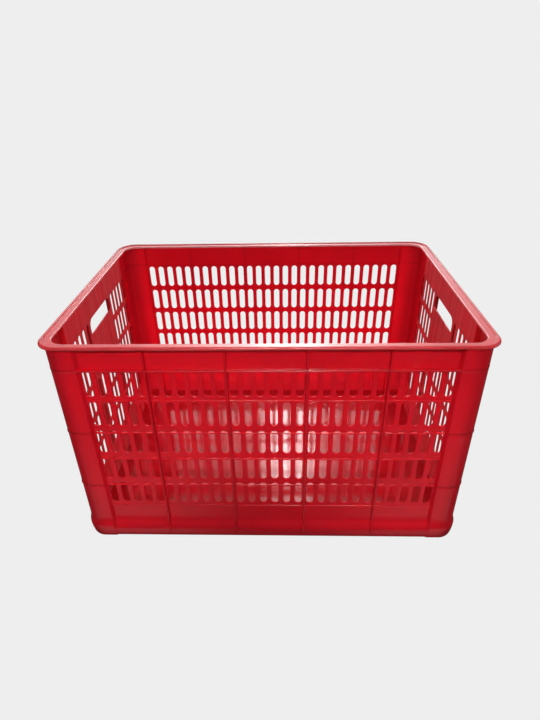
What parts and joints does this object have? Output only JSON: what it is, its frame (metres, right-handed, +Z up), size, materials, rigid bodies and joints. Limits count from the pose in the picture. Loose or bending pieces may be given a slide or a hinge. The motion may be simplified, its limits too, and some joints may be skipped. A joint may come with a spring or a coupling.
{
  "type": "plastic harvest crate",
  "caption": "Open rectangular crate moulded in glossy red plastic, with slotted walls, ribbed outside, corner posts, a flanged rim and hand-holes in both ends.",
  "frame": {"origin": "middle of the foot, on the ground", "axes": "+X along the crate's length, the pictured front wall faces -Y, +Z up"},
  "size_m": [0.61, 0.434, 0.361],
  "materials": {
    "red_plastic": "glossy injection-moulded red polyolefin"
  },
  "bodies": {
    "root": {"back_panel": "red_plastic", "base_back": "red_plastic", "base_front": "red_plastic", "base_left": "red_plastic", "base_right": "red_plastic", "corner_foot_back_left": "red_plastic", "corner_foot_back_right": "red_plastic", "corner_foot_front_left": "red_plastic", "corner_foot_front_right": "red_plastic", "corner_post_back_left": "red_plastic", "corner_post_back_right": "red_plastic", "corner_post_front_left": "red_plastic", "corner_post_front_right": "red_plastic", "cross_ribs_back": "red_plastic", "cross_ribs_front": "red_plastic", "cross_ribs_left": "red_plastic", "cross_ribs_right": "red_plastic", "floor_plate": "red_plastic", "floor_ribs": "red_plastic", "front_panel": "red_plastic", "grip_panel_left": "red_plastic", "grip_panel_right": "red_plastic", "rim_back": "red_plastic", "rim_corner_back_left": "red_plastic", "rim_corner_back_right": "red_plastic", "rim_corner_front_left": "red_plastic", "rim_corner_front_right": "red_plastic", "rim_front": "red_plastic", "rim_left": "red_plastic", "rim_right": "red_plastic", "uprights_back": "red_plastic", "uprights_front": "red_plastic", "uprights_left": "red_plastic", "uprights_right": "red_plastic", "vent_panel_back_left": "red_plastic", "vent_panel_back_right": "red_plastic", "vent_panel_front_left": "red_plastic", "vent_panel_front_right": "red_plastic", "vent_panel_middle_left": "red_plastic", "vent_panel_middle_right": "red_plastic"}
  },
  "joints": []
}
